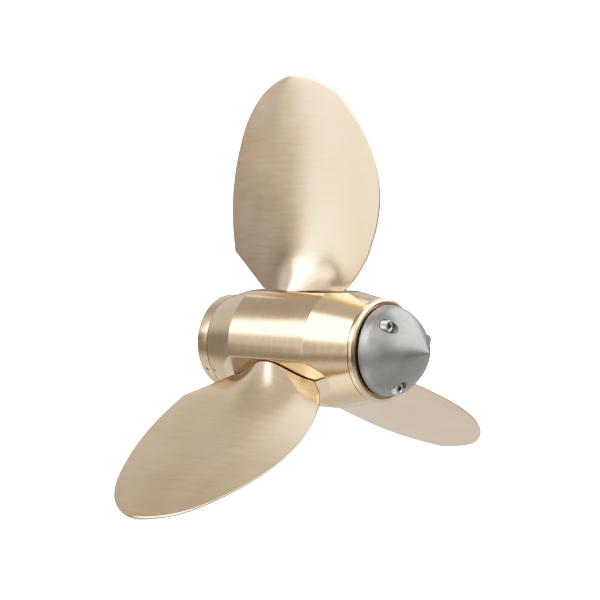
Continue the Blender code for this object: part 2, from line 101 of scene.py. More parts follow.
def grid_faces(rows, columns, close_rows):
    """Quads between the neighbours of a grid whose columns close on themselves."""
    last = rows if close_rows else rows - 1
    row, column = np.meshgrid(np.arange(last), np.arange(columns), indexing="ij")
    below = (row + 1) % rows
    beside = (column + 1) % columns
    corners = [(row, column), (row, beside), (below, beside), (below, column)]
    return np.stack([r * columns + c for r, c in corners], axis=-1).reshape(-1, 4)


def finish_mesh(mesh):
    """Merge points that fall together, turn the faces outwards and mark the sharp edges."""
    bm = bmesh.new()
    bm.from_mesh(mesh)
    bmesh.ops.remove_doubles(bm, verts=bm.verts, dist=WELD)
    if bm.calc_volume(signed=True) < 0:
        bmesh.ops.reverse_faces(bm, faces=bm.faces)
    bm.to_mesh(mesh)
    bm.free()
    mesh.shade_smooth()
    mesh.set_sharp_from_angle(angle=SHARP_ANGLE)


def piece_from_grid(name, points, close_rows=False):
    """A new object from a grid of points with the shape (rows, columns, 3)."""
    rows, columns, _ = points.shape
    mesh = bpy.data.meshes.new(name)
    mesh.from_pydata(points.reshape(-1, 3), [], grid_faces(rows, columns, close_rows))
    finish_mesh(mesh)
    piece = bpy.data.objects.new(name, mesh)
    bpy.context.scene.collection.objects.link(piece)
    return piece


def put_on(piece, body, slot, *nodes):
    """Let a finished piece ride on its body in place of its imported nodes."""
    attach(piece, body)
    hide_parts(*nodes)
    print(f"{piece.name}: {len(piece.data.polygons)} faces on {body}")
    return piece

# %% [markdown]
# Most of the hub is turned on a lathe, and a turned part is a profile of places along the
# axis and radii, carried round that axis. No real corner is perfect, and a corner with no
# rounding catches no light, so each corner of a profile is replaced by a small curve.
# Every turned part is made about its own X axis, and a matrix then puts its points in
# their place, so that the finished object stays at the origin.

# %% Turned surfaces
ROUND_STEPS = 7
ROUNDING_LIMIT = 0.45
TURN_STEPS = 240


def rounded_profile(corners):
    """Replace each (x, radius, rounding) corner by the parabola that joins its two sides.

    The parabola leaves one side and meets the other at the rounding's length from the corner.
    On a short side it takes no more than the limit's share of that side.
    """
    points = np.array(corners, float)
    place, rounding = points[:, :2], points[:, 2:]
    share = np.linspace(0, 1, ROUND_STEPS)[None, :, None]
    sides = [np.roll(place, step, axis=0) - place for step in (1, -1)]
    lengths = [np.linalg.norm(side, axis=1, keepdims=True) for side in sides]
    start, end = (place + side / length * np.minimum(rounding, length * ROUNDING_LIMIT)
                  for side, length in zip(sides, lengths))
    curve = ((1 - share) ** 2 * start[:, None] + 2 * share * (1 - share) * place[:, None]
             + share ** 2 * end[:, None])
    return curve.reshape(-1, 2)


def round_x(x, radius, steps=TURN_STEPS):
    """Points at (x, -r sin a, r cos a) for every angle a: rows of x and r carried round X.

    A radius is one number for a whole row, or one for each angle.
    """
    angle = np.linspace(0, math.tau, steps, endpoint=False)[None, :]
    x, radius = np.broadcast_arrays(x.reshape(-1, 1) + 0 * angle, radius.reshape(len(x), -1))
    return np.stack([x, -radius * np.sin(angle), radius * np.cos(angle)], axis=-1)


def placed(points, matrix):
    """Points moved by a 4 x 4 matrix."""
    values = np.array(matrix)
    return points @ values[:3, :3].T + values[:3, 3]


def turned_piece(name, corners, matrix=Matrix(), steps=TURN_STEPS):
    """A lathe part from the rounded corners of its closed section."""
    profile = rounded_profile(corners)
    points = placed(round_x(profile[:, 0], profile[:, 1], steps), matrix)
    return piece_from_grid(name, points, close_rows=True)

# %% [markdown]
# Drilled holes and the keyway are cut with exact Booleans, as in a workshop: the tool is a
# closed solid, and what it covers is gone. The result is read back into a plain mesh at
# once, so that no modifier and no tool is left in the file.

# %% Cutting tools
HOLE_STEPS = 96


def drill(sections, matrices):
    """Equal stepped drills along X, one for each matrix, from (low, high, radius) sections.

    A drill is turned by half a step, so that its corners don't meet the columns of a grid.
    """
    corners = [(sections[0][0], 0, 0)]
    for low, high, radius in sections:
        corners += [(low, radius, 0), (high, radius, 0)]
    corners.append((sections[-1][1], 0, 0))
    half_step = Matrix.Rotation(math.pi / HOLE_STEPS, 4, "X")
    return [turned_piece("drill", corners, matrix @ half_step, HOLE_STEPS) for matrix in matrices]


def carve(piece, tools):
    """Cut the tools out of a piece, then take them away."""
    for tool in tools:
        cut = piece.modifiers.new("cut", "BOOLEAN")
        cut.solver = "EXACT"
        cut.object = tool
    graph = bpy.context.evaluated_depsgraph_get()
    carved = bpy.data.meshes.new_from_object(piece.evaluated_get(graph))
    piece.modifiers.clear()
    piece.data = carved
    for tool in tools:
        bpy.data.objects.remove(tool)
    finish_mesh(carved)
    return piece


def around_x(angle, radius=0.0, x=0.0):
    """The turn about the shaft axis that takes +Z to an angle, then a move out and along X."""
    return Matrix.Rotation(angle, 4, "X") @ Matrix.Translation((x, 0, radius))


def outwards(angle, x):
    """A frame whose X axis runs out from the shaft axis at an angle, from a place along it."""
    return around_x(angle, 0.0, x) @ Matrix.Rotation(-math.pi / 2, 4, "Y")

# %% [markdown]
# The hub is the barrel that carries the blades: a front cone, a cylinder and a tail cone,
# turned in one setting, with a milled flat under each blade. A Boolean could cut the flats,
# but then the edges of the flat would be jagged on the cones. Here the flat is part of the
# formula instead: at each angle the surface lies at the turned radius or at the flat,
# whichever is nearer to the axis, and a column of the grid follows the edge between them.

# %% Hub sizes
BLADES = 3
BLADE_AXIS_X = 0.080
BLADE_ANGLES = [math.tau * index / BLADES for index in range(BLADES)]
HUB_FRONT = (0.0119, 0.0396)
HUB_SHOULDER = (0.0438, 0.0479)
HUB_TAPER = (0.1234, 0.0479)
HUB_TAIL = (0.1614, 0.0400)
FLAT_HEIGHT = 0.0442
CAVITY_X = 0.0440
CAVITY_RADIUS = 0.0330
JOURNAL_BORE = 0.0264
STEM_BORE = 0.0154
GEAR_POCKET = (0.0270, 0.0200, 0.0335)
INDEX_ANGLE = BLADE_ANGLES[1]
INDEX_HOLE_RADIUS = 0.0014
INDEX_DEPTH = 0.0033
INDEX_HUB_X = 0.0152
INDEX_HUB_SURFACE = float(np.interp(INDEX_HUB_X, *zip(HUB_FRONT, HUB_SHOULDER)))

# %% Hub surface
CORNER = 0.0008
CRISP = 0.00015
SEAM = 0.0002
EDGE_BLEND = 0.00003
ROW_STEP = 0.0015
LEAF_TIP = math.radians(1.0)
FLAT_COLUMNS = 12
BARREL_COLUMNS = 44


def finer(profile, step, inside):
    """A closed profile with extra points at equal steps, only where its radius is over a limit."""
    closed = np.vstack([profile, profile[:1]])
    along = np.concatenate([[0], np.cumsum(np.linalg.norm(np.diff(closed, axis=0), axis=1))])
    extra = np.arange(0, along[-1], step)
    extra = extra[np.interp(extra, along, closed[:, 1]) > inside]
    places = np.union1d(along[:-1], extra)
    return np.stack([np.interp(places, along, closed[:, axis]) for axis in (0, 1)], axis=1)


def smooth_lower(first, second, blend):
    """The lower of two values, with the corner between them rounded over the blend."""
    near = np.maximum(blend - np.abs(first - second), 0) / blend
    return np.minimum(first, second) - near ** 2 * blend / 4


def hub_points(profile):
    """Rows of the profile round the axis, at the radius min(R, flat / cos(angle from a blade)).

    In each sixth of a turn, FLAT_COLUMNS columns run from the blade's axis to the edge of the
    flat, at acos(flat / R), and BARREL_COLUMNS from there to half way to the next blade.
    """
    radius = profile[:, 1:]
    edge = np.arccos(np.minimum(FLAT_HEIGHT / np.maximum(radius, FLAT_HEIGHT), math.cos(LEAF_TIP)))
    half = math.pi / BLADES
    on_flat = edge * np.linspace(0, 1, FLAT_COLUMNS, endpoint=False)
    on_barrel = edge + (half - edge) * np.linspace(0, 1, BARREL_COLUMNS, endpoint=False)
    rising = np.concatenate([on_flat, on_barrel, np.full_like(edge, half)], axis=1)
    third = np.concatenate([rising[:, :-1], 2 * half - rising[:, :0:-1]], axis=1)
    angle = np.concatenate([third + start for start in BLADE_ANGLES], axis=1)
    from_blade = np.abs((angle + half) % (2 * half) - half)
    surface = smooth_lower(radius, FLAT_HEIGHT / np.cos(from_blade), EDGE_BLEND)
    x = profile[:, :1] + 0 * angle
    return np.stack([x, -surface * np.sin(angle), surface * np.cos(angle)], axis=-1)


def index_drill(surface, x):
    """The drill of an index hole, from a surface inwards at a place along the shaft axis."""
    section = (surface - INDEX_DEPTH, HUB_SHOULDER[1], INDEX_HOLE_RADIUS)
    return drill([section], [outwards(INDEX_ANGLE, x)])


def make_hub():
    """The barrel with its flats, its bores for the stems, its gear pockets and its index hole."""
    front, tail = HUB_FRONT[0] + SEAM, HUB_TAIL[0] - SEAM
    corners = [(front, JOURNAL_BORE, CORNER), (front, HUB_FRONT[1], CRISP), (*HUB_SHOULDER, CRISP),
               (*HUB_TAPER, CRISP), (tail, HUB_TAIL[1], CRISP), (tail, CAVITY_RADIUS, CORNER),
               (CAVITY_X, CAVITY_RADIUS, 0), (CAVITY_X, JOURNAL_BORE, 0)]
    profile = finer(rounded_profile(corners), ROW_STEP, HUB_TAIL[1])
    hub = piece_from_grid("hub_shell", hub_points(profile), close_rows=True)
    frames = [outwards(angle, BLADE_AXIS_X) for angle in BLADE_ANGLES]
    pocket, floor, top = GEAR_POCKET
    bores = drill([(floor, top, pocket), (top, HUB_SHOULDER[1], STEM_BORE)], frames)
    carve(hub, bores + index_drill(INDEX_HUB_SURFACE, INDEX_HUB_X))
    return put_on(hub, "hub", "bronze", "hub_body")


hub = make_hub()

# %% [markdown]
# A blade of this kind is flat, so that it makes the same thrust ahead and astern. Its
# section is a low, rounded roof between two curved edges, thickest a third of the way from
# the forward one. Near the hub it swells into a slender root that leans aft and fans out,
# and the root sits on a round stem. It could be sculpted, or lofted from drawn sections.
# Here each row of the grid is a closed loop that goes along one side of the blade and back
# along the other, and the same loops carry on as the base, the stem and the screw's bore
# under it. The edges are smooth curves through a few points, as a draughtsman's spline is.

# %% Blade sizes
TIP_RADIUS = 0.2162
BLADE_BASE = 0.0452
SHOULDER_HEIGHT = 0.0753
ROOT_AFT_EDGE = ((0.0480, BLADE_BASE), (0.0583, 0.0538), (0.0663, 0.0633), (0.0740, SHOULDER_HEIGHT))
ROOT_FORWARD_EDGE = ((-0.0400, BLADE_BASE), (-0.0706, SHOULDER_HEIGHT))
AFT_EDGE = ((0.0740, SHOULDER_HEIGHT), (0.0820, 0.0958), (0.0856, 0.1210), (0.0799, 0.1500),
            (0.0620, 0.1813), (0.0360, 0.2056), (0.0, TIP_RADIUS))
FORWARD_EDGE = ((-0.0706, SHOULDER_HEIGHT), (-0.0722, 0.0970), (-0.0710, 0.1220), (-0.0641, 0.1525),
                (-0.0502, 0.1840), (-0.0290, 0.2062), (0.0, TIP_RADIUS))
EDGE_THICKNESS = 0.0018
EDGE_ROUNDING = 0.0011
ROOT_CORE = 0.0076
TIP_CORE = 0.0034
BULGE_HEIGHT = 0.0177
BULGE_CENTRE = 0.0045
BULGE_AFT = (0.0510, 3.1, 0.14)
BULGE_FORWARD = (0.0440, 2.2, 0.0)
BULGE_FADE = 0.0252
BULGE_FOOT = 0.75
RIDGE_SHARE = 0.34
RIDGE_SOFT = 0.36
BULGE_LEAN = 0.27
BASE_ROUNDING = 0.0005
STEM_RADIUS = 0.0150
STEM_FOOT = 0.0335
STEM_CHAMFER = 0.0006
SCREW_BORE = 0.0043
SCREW_BORE_END = 0.0431

# %% Blade edges
ROOT_ROWS = 34
BLADE_ROWS = 132
CHORD_COLUMNS = 76
FIRST_ROWS = (0.0015, 0.005, 0.010, 0.017)


def smooth_curve(points, onward, share):
    """A Catmull-Rom spline through the points, which would go on to the point onward.

    Each stretch is the cubic that passes its two ends parallel to the lines between the
    neighbours of those ends. share runs from 0 to 1 over the whole curve.
    """
    first, second = np.array(points[:2])
    knots = np.array([2 * first - second, *points, onward])
    place = share * (len(points) - 1)
    index = np.minimum(place.astype(int), len(points) - 2)
    t = (place - index)[:, None]
    before, start, end, after = (knots[index + offset] for offset in range(4))
    return 0.5 * (2 * start + (end - before) * t + (2 * before - 5 * start + 4 * end - after) * t ** 2
                  + (3 * start - before - 3 * end + after) * t ** 3)


def blade_edges():
    """Both edges of the blade as rows of (x, height), from the base to the tip."""
    root = np.union1d(np.linspace(0, 1, ROOT_ROWS, endpoint=False), FIRST_ROWS)
    upper = np.linspace(0, 1, BLADE_ROWS)
    base, shoulder = np.array(ROOT_FORWARD_EDGE)
    aft = np.concatenate([smooth_curve(ROOT_AFT_EDGE, AFT_EDGE[1], root),
                          smooth_curve(AFT_EDGE, FORWARD_EDGE[-2], upper)])
    forward = np.concatenate([base + (shoulder - base) * root[:, None],
                              smooth_curve(FORWARD_EDGE, AFT_EDGE[-2], upper)])
    return aft, forward


def distance_to_edges(aft, forward, share):
    """How far a point of the middle plane is from the nearer edge.

    It is the way along the chord to that edge, times the sine of the angle between the two.
    """
    chord = aft - forward
    length = np.maximum(np.linalg.norm(chord, axis=1), WELD)
    ways = []
    for edge, part in ((forward, share), (aft, 1 - share)):
        along = np.gradient(edge, axis=0)
        along = along / np.linalg.norm(along, axis=1, keepdims=True)
        sine = np.abs(along[:, 0] * chord[:, 1] - along[:, 1] * chord[:, 0]) / length
        ways.append(part * (length * sine)[:, None])
    return np.minimum(*ways)

# %% Blade surface
def root_bulge(x, height):
    """How far the root swells beyond the lens.

    Up the blade it is a straight taper that ends in a soft foot: a + sqrt(a^2 + f^2) over its
    value at the base, where a is what is left of the fade and f is the foot. Across the chord
    it is a cosine to a power about a ridge that leans aft. Each flank has its reach and power,
    and a share by which it spreads upward like a fan.
    """
    rise = (height - BLADE_BASE) / BULGE_FADE
    from_ridge = x - BULGE_CENTRE - BULGE_LEAN * BULGE_FADE * np.tanh(rise)
    flanks = zip(BULGE_AFT, BULGE_FORWARD)
    reach, power, spread = (np.where(from_ridge > 0, aft, forward) for aft, forward in flanks)
    width = reach * (1 + spread * np.tanh(rise))
    across = np.cos(math.pi / 2 * np.minimum(np.abs(from_ridge) / width, 1)) ** power
    taper = (1 - rise + np.hypot(1 - rise, BULGE_FOOT)) / (1 + math.hypot(1, BULGE_FOOT))
    return (BULGE_HEIGHT - ROOT_CORE / 2) * across * taper


def half_thickness(x, height, share, from_edge):
    """Half the thickness: lens plus bulge, times a rounding that brings the edges together.

    The lens rises from both edges to the core at the blade's thickest line, like a low roof
    with a rounded ridge: with d from -1 at one edge to 1 at the other it falls off as
    hypot(d, soft). The rounding is the quarter circle sqrt(1 - (1 - d / e)^2) within e of an edge.
    """
    up = (height - BLADE_BASE) / (TIP_RADIUS - BLADE_BASE)
    core = ROOT_CORE + (TIP_CORE - ROOT_CORE) * up
    from_ridge = (share - RIDGE_SHARE) / np.where(share > RIDGE_SHARE, 1 - RIDGE_SHARE, RIDGE_SHARE)
    fall = (np.hypot(from_ridge, RIDGE_SOFT) - RIDGE_SOFT) / (math.hypot(1, RIDGE_SOFT) - RIDGE_SOFT)
    lens = EDGE_THICKNESS + (core - EDGE_THICKNESS) * (1 - fall)
    rounding = np.sqrt(1 - (1 - np.minimum(from_edge / EDGE_ROUNDING, 1)) ** 2)
    return (lens / 2 + root_bulge(x, height)) * rounding


def blade_loops():
    """The blade's rows from base to tip, each a loop along one side and back along the other."""
    aft, forward = blade_edges()
    share = (1 - np.cos(np.linspace(0, math.pi, CHORD_COLUMNS + 1)))[None, :] / 2
    x, height = (forward[:, axis, None] + (aft - forward)[:, axis, None] * share for axis in (0, 1))
    side = half_thickness(x, height, share, distance_to_edges(aft, forward, share))
    near = np.stack([x, -side, height], axis=-1)[:, :-1]
    far = np.stack([x, side, height], axis=-1)[:, :0:-1]
    loops = np.concatenate([near, far], axis=1)
    low = 1 - np.minimum((loops[..., 2:] - BLADE_BASE) / BASE_ROUNDING, 1)
    inset = BASE_ROUNDING * (1 - np.sqrt(1 - low ** 2))
    reach = np.linalg.norm(loops[..., :2], axis=-1, keepdims=True)
    loops[..., :2] *= 1 - inset / np.maximum(reach, WELD)
    return loops


def stem_loops(base):
    """Round loops for the bore, the foot and the stem, with their columns in line with the base's."""
    sections = ((0, SCREW_BORE_END), (SCREW_BORE, SCREW_BORE_END), (SCREW_BORE, STEM_FOOT),
                (STEM_RADIUS - STEM_CHAMFER, STEM_FOOT), (STEM_RADIUS, STEM_FOOT + STEM_CHAMFER),
                (STEM_RADIUS, BLADE_BASE))
    radius, height = np.array(sections).T[:, :, None]
    turn = np.arctan2(base[:, 1], base[:, 0])[None, :]
    return np.stack([radius * np.cos(turn), radius * np.sin(turn), height + 0 * turn], axis=-1)


def make_blade(index):
    """One blade with its stem, in its place on the hub."""
    loops = blade_loops()
    points = np.concatenate([stem_loops(loops[0]), loops])
    matrix = around_x(BLADE_ANGLES[index], 0.0, BLADE_AXIS_X)
    name = f"blade_{index + 1}"
    blade = piece_from_grid(f"{name}_surface", placed(points, matrix))
    return put_on(blade, ("first_blade", "second_blade", "third_blade")[index], "bronze", name)


blades = [make_blade(index) for index in range(BLADES)]

# %% [markdown]
# Ahead of the hub sits a ring that stays with the shaft. It is a plain turned part that six
# socket screws fasten to the boss, the part that the hub turns on. Their counterbores are
# drilled on a circle, as on an indexing head. A circle of screws is given by its radius,
# their number and, where it isn't straight up, the angle of the first.

# %% Ring and boss sizes
RING_SCREW_CIRCLE = (0.0275, 6)
RING_LENGTH = 0.0116
RING_PLATE = 0.0060
RING_BORE = 0.0200
RING_RIM = 0.0353
RING_FRONT_RADIUS = 0.0390
INDEX_RING_X = 0.0063
BOSS_SNOUT = 0.0197
BOSS_FLANGE_X = 0.0063
BOSS_FLANGE = 0.0350
BOSS_JOURNAL = 0.0260
BOSS_SPIGOT = 0.0155
BOSS_END_X = 0.0620
BOSS_BORE = 0.0125
BOSS_END_BORE = 0.0094
KEYWAY_WIDTH = 0.0080
KEYWAY_DEPTH = 0.0033
RING_HEAD_HOLE = 0.0045
RING_HEAD_DEPTH = 0.0050
RING_SHANK_HOLE = 0.0028
RING_SCREW_END = 0.0162

# %% Front ring and shaft boss
def screw_circle(radius, count, start=0.0):
    """The frames of holes parallel to the shaft, equally spaced on a circle from an angle."""
    return [around_x(start + math.tau * index / count, radius) for index in range(count)]


def make_front_ring():
    """The ring ahead of the hub, with its counterbored holes and its index hole."""
    back = RING_LENGTH - SEAM
    corners = [(0, RING_BORE, CORNER / 2), (0, RING_FRONT_RADIUS, CORNER),
               (back, HUB_FRONT[1], CRISP), (back, RING_RIM, CORNER / 2),
               (RING_PLATE, RING_RIM, 0), (RING_PLATE, RING_BORE, CORNER / 2)]
    ring = turned_piece("front_ring_turned", corners)
    holes = drill([(-RING_LENGTH, RING_HEAD_DEPTH, RING_HEAD_HOLE),
                   (RING_HEAD_DEPTH, RING_LENGTH, RING_SHANK_HOLE)], screw_circle(*RING_SCREW_CIRCLE))
    carve(ring, holes + index_drill(RING_FRONT_RADIUS, INDEX_RING_X))
    return put_on(ring, "boss", "bronze", "front_ring")


def keyway_tool():
    """A bar along the bore, leaning with its taper, that mills the keyway."""
    lean = math.atan((BOSS_BORE - BOSS_END_BORE) / BOSS_END_X)
    low = np.array([-BOSS_BORE, -KEYWAY_WIDTH / 2, 0])
    size = np.array([BOSS_END_X + 2 * BOSS_BORE, KEYWAY_WIDTH, BOSS_BORE + KEYWAY_DEPTH])
    across = np.array([(0, 0), (1, 0), (1, 1), (0, 1)])
    ends = [np.concatenate([np.full((4, 1), along), across * spread + (1 - spread) / 2], axis=1)
            for along, spread in ((0, 0), (0, 1), (1, 1), (1, 0))]
    points = placed(low + size * np.array(ends), Matrix.Rotation(lean, 4, "Y"))
    return [piece_from_grid("keyway_tool", points)]


def make_boss():
    """The boss that the hub turns on, with its taper bore, keyway and tapped holes."""
    corners = [(0, BOSS_BORE, CORNER), (0, BOSS_SNOUT, CORNER / 2), (BOSS_FLANGE_X, BOSS_SNOUT, 0),
               (BOSS_FLANGE_X, BOSS_FLANGE, CORNER / 2), (RING_LENGTH, BOSS_FLANGE, CORNER / 2),
               (RING_LENGTH, BOSS_JOURNAL, 0), (CAVITY_X, BOSS_JOURNAL, CORNER / 2),
               (CAVITY_X, BOSS_SPIGOT, 0), (BOSS_END_X, BOSS_SPIGOT, CORNER / 2),
               (BOSS_END_X, BOSS_END_BORE, CORNER / 2)]
    boss = turned_piece("shaft_boss_turned", corners)
    holes = drill([(0, RING_SCREW_END, RING_SHANK_HOLE)], screw_circle(*RING_SCREW_CIRCLE))
    carve(boss, keyway_tool() + holes)
    return put_on(boss, "boss", "bronze", "shaft_boss")


front_ring = make_front_ring()
boss = make_boss()

# %% [markdown]
# A turned cap closes the hub at the tail and carries the zinc cone, the part that sea water
# is meant to eat, so that the bronze is spared. The cone is cast, and three socket screws in
# deep counterbores hold it, because it is changed every season. Its profile is a line from
# the ridge to the point with a bulge added, which is largest half way. The point is a
# little blunt, as on a casting.

# %% Cap and cone sizes
CAP_SPIGOT_X = 0.1500
CAP_SPIGOT = 0.0326
CAP_FRONT_X = 0.1617
CAP_CHAMFER_X = 0.1652
CAP_RIM = (0.1664, 0.0379)
CAP_SEAT = (0.1677, 0.0300)
CONE_BASE = (0.1677, 0.0350)
CONE_RIDGE = (0.1746, 0.0348)
RIDGE_ROUNDING = 0.0035
CONE_POINT_X = 0.2087
CONE_BULGE = 0.0062
CONE_ROWS = 72
CONE_SCREW_CIRCLE = (0.0285, 3, math.radians(42.5))
CONE_SCREW_TOP = 0.1868
CONE_SCREW_SEAT = 0.1805
CONE_SCREW_END = 0.1575
COUNTERBORE_RADIUS = 0.0053
CONE_SHANK_HOLE = 0.0033

# %% Tail cap and zinc cone
def make_tail_cap():
    """The cap that closes the hub, with a raised seat and three tapped holes."""
    front = CAP_FRONT_X + SEAM
    corners = [(CAP_SPIGOT_X, 0, 0), (CAP_SPIGOT_X, CAP_SPIGOT, CORNER), (front, CAP_SPIGOT, 0),
               (front, HUB_TAIL[1], CRISP), (CAP_CHAMFER_X, HUB_TAIL[1], CRISP),
               (*CAP_RIM, CRISP), (CAP_RIM[0], CAP_SEAT[1], 0), (*CAP_SEAT, CORNER / 2),
               (CAP_SEAT[0], 0, 0)]
    cap = turned_piece("tail_cap_turned", corners)
    holes = [(CONE_SCREW_END, CONE_POINT_X, CONE_SHANK_HOLE)]
    carve(cap, drill(holes, screw_circle(*CONE_SCREW_CIRCLE)))
    return put_on(cap, "hub", "bronze", "tail_cap")


def cone_profile():
    """The closed section of the cone: base, short skirt, and r = ridge (1 - s) + bulge 4 s (1 - s)."""
    share = np.linspace(0, 1, CONE_ROWS)
    radius = CONE_RIDGE[1] * (1 - share) + CONE_BULGE * 4 * share * (1 - share)
    slope = np.stack([CONE_RIDGE[0] + (CONE_POINT_X - CONE_RIDGE[0]) * share, radius], axis=1)
    beyond = np.linalg.norm(slope - CONE_RIDGE, axis=1) > RIDGE_ROUNDING
    skirt = [(CONE_BASE[0], 0, 0), (*CONE_BASE, CORNER), (*CONE_RIDGE, RIDGE_ROUNDING),
             (*slope[beyond][0], 0)]
    return np.concatenate([rounded_profile(skirt)[:-ROUND_STEPS], slope[beyond]])


def make_cone():
    """The cast cone with its three counterbored holes."""
    profile = cone_profile()
    cone = piece_from_grid("zinc_cone", round_x(profile[:, 0], profile[:, 1]), close_rows=True)
    holes = [(HUB_TAIL[0], CONE_SCREW_SEAT, CONE_SHANK_HOLE),
             (CONE_SCREW_SEAT, CONE_POINT_X, COUNTERBORE_RADIUS)]
    carve(cone, drill(holes, screw_circle(*CONE_SCREW_CIRCLE)))
    return put_on(cone, "hub", "zinc", "anode_cone")


tail_cap = make_tail_cap()
cone = make_cone()

# %% [markdown]
# Socket screws hold the cone and the ring. Each is one turned surface in which some rows
# are not round: the socket's rows follow a hexagon, and the head's rows are knurled, as
# on real cap screws, so that fingers can start them. The two index screws by the front
# seam are short pins, set a little under the surface.

# %% Screw sizes
CONE_SCREW = (0.0045, 0.0060, 0.0030, 0.0230, 0.0026)
RING_SCREW = (0.0042, 0.0050, 0.0025, 0.0046, 0.0024)
RING_SCREW_TOP = 0.0003
SCREW_STEPS = 144
KNURLS = 36
KNURL_DEPTH = 0.00012
SCREW_EDGE = 0.0004
INDEX_SCREW_RADIUS = 0.0011
INDEX_SCREW_LENGTH = 0.0030
INDEX_SUNK = 0.0009
INDEX_MARK = (0.0006, 0.0009)
FACING_FORWARD = Matrix.Rotation(math.pi, 4, "Z")

# %% Screws
def hexagon(angle):
    """The radius of a hexagon at each angle, as a share of its corner's radius."""
    sector = math.pi / 3
    return math.cos(sector / 2) / np.cos(angle % sector - sector / 2)


def screw_points(sizes):
    """A socket screw along X with its head's top at 0: rows of (x, radius) times a row shape.

    Round rows have the shape 1, the head's side 1 + depth cos(knurls a), the socket a hexagon.
    sizes are the head's radius and height, the shank's radius and length, and the socket's radius.
    """
    head, height, shank, length, socket = sizes
    depth, edge = height / 2, SCREW_EDGE
    end = -height - length
    rows = [(end, 0, "round"), (end, shank - edge, "round"), (end + edge, shank, "round"),
            (-height, shank, "round"), (-height, head - edge, "round"), (edge - height, head, "round"),
            (2 * edge - height, head, "knurled"), (-1.5 * edge, head, "knurled"), (-edge, head, "round"),
            (-edge / 3, head - edge / 3, "round"), (0, head - edge, "round"), (0, socket + edge, "round"),
            (-edge, socket, "hexagon"), (-depth, socket, "hexagon"), (-depth - edge, 0, "round")]
    angle = np.linspace(0, math.tau, SCREW_STEPS, endpoint=False)
    shapes = {"round": 0 * angle + 1, "hexagon": hexagon(angle),
              "knurled": 1 + KNURL_DEPTH / head * np.cos(KNURLS * angle)}
    x = np.array([row[0] for row in rows])
    radius = np.array([row[1] * shapes[row[2]] for row in rows])
    return round_x(x, radius, SCREW_STEPS)


def make_screw(name, node, sizes, body, matrix):
    """A socket screw in its place, with its head's top at the matrix."""
    screw = piece_from_grid(name, placed(screw_points(sizes), matrix))
    return put_on(screw, body, "stainless_steel", node)


def make_index_screw(name, node, body, surface, x):
    """A small pin with no slot and a punch mark, sunk a little under the surface."""
    top = surface - INDEX_SUNK
    low = surface - INDEX_SCREW_LENGTH
    mark, depth = INDEX_MARK
    corners = [(low, 0, 0), (low, INDEX_SCREW_RADIUS, 0), (top, INDEX_SCREW_RADIUS, SCREW_EDGE / 2),
               (top, mark, 0), (top - depth, 0, 0)]
    pin = turned_piece(name, corners, outwards(INDEX_ANGLE, x), HOLE_STEPS)
    return put_on(pin, body, "bronze", node)


for index, place in enumerate(screw_circle(*CONE_SCREW_CIRCLE), 1):
    top = Matrix.Translation((CONE_SCREW_TOP, 0, 0)) @ place
    make_screw(f"cone_screw_{index}", f"anode_screw_{index}", CONE_SCREW, "hub", top)
for index, place in enumerate(screw_circle(*RING_SCREW_CIRCLE), 1):
    top = Matrix.Translation((RING_SCREW_TOP, 0, 0)) @ place @ FACING_FORWARD
    make_screw(f"ring_screw_{index}", f"front_ring_screw_{index}", RING_SCREW, "boss", top)
make_index_screw("ring_index_pin", "ring_index_screw", "boss", RING_FRONT_RADIUS, INDEX_RING_X)
make_index_screw("hub_index_pin", "hub_index_screw", "hub", INDEX_HUB_SURFACE, INDEX_HUB_X)

# %% [markdown]
# The finishes come next. Shader maths is easier to read as Python expressions, so one
# small class wraps a socket, and its operators add the Math nodes. Any other node comes
# from one method that takes its type, its settings, and the values or links of its
# sockets. Plain numbers are worked out in Python, and colours go through Mix nodes.

# %% Shader maths
class Value:
    """A socket with operators: an expression of values adds its Math nodes."""

    def __init__(self, paint, socket):
        self.paint = paint
        self.socket = socket

    def __add__(self, other):
        return self.paint.math("ADD", self, other)

    def __sub__(self, other):
        return self.paint.math("SUBTRACT", self, other)

    def __rsub__(self, other):
        return self.paint.math("SUBTRACT", other, self)

    def __mul__(self, other):
        return self.paint.math("MULTIPLY", self, other)

    def __truediv__(self, other):
        return self.paint.math("DIVIDE", self, other)

    __radd__ = __add__
    __rmul__ = __mul__

    def size(self):
        """The value without its sign."""
        return self.paint.math("ABSOLUTE", self)

    def step(self, low, high):
        """A smooth step from 0 at low to 1 at high."""
        sockets = {"Value": self, "From Min": low, "From Max": high}
        return self.paint.value("ShaderNodeMapRange", 0, {"interpolation_type": "SMOOTHSTEP"}, sockets)

# %% Node trees
MIX_FACTOR, MIX_LOW, MIX_HIGH = 0, 6, 7
MIX_COLOUR = 2


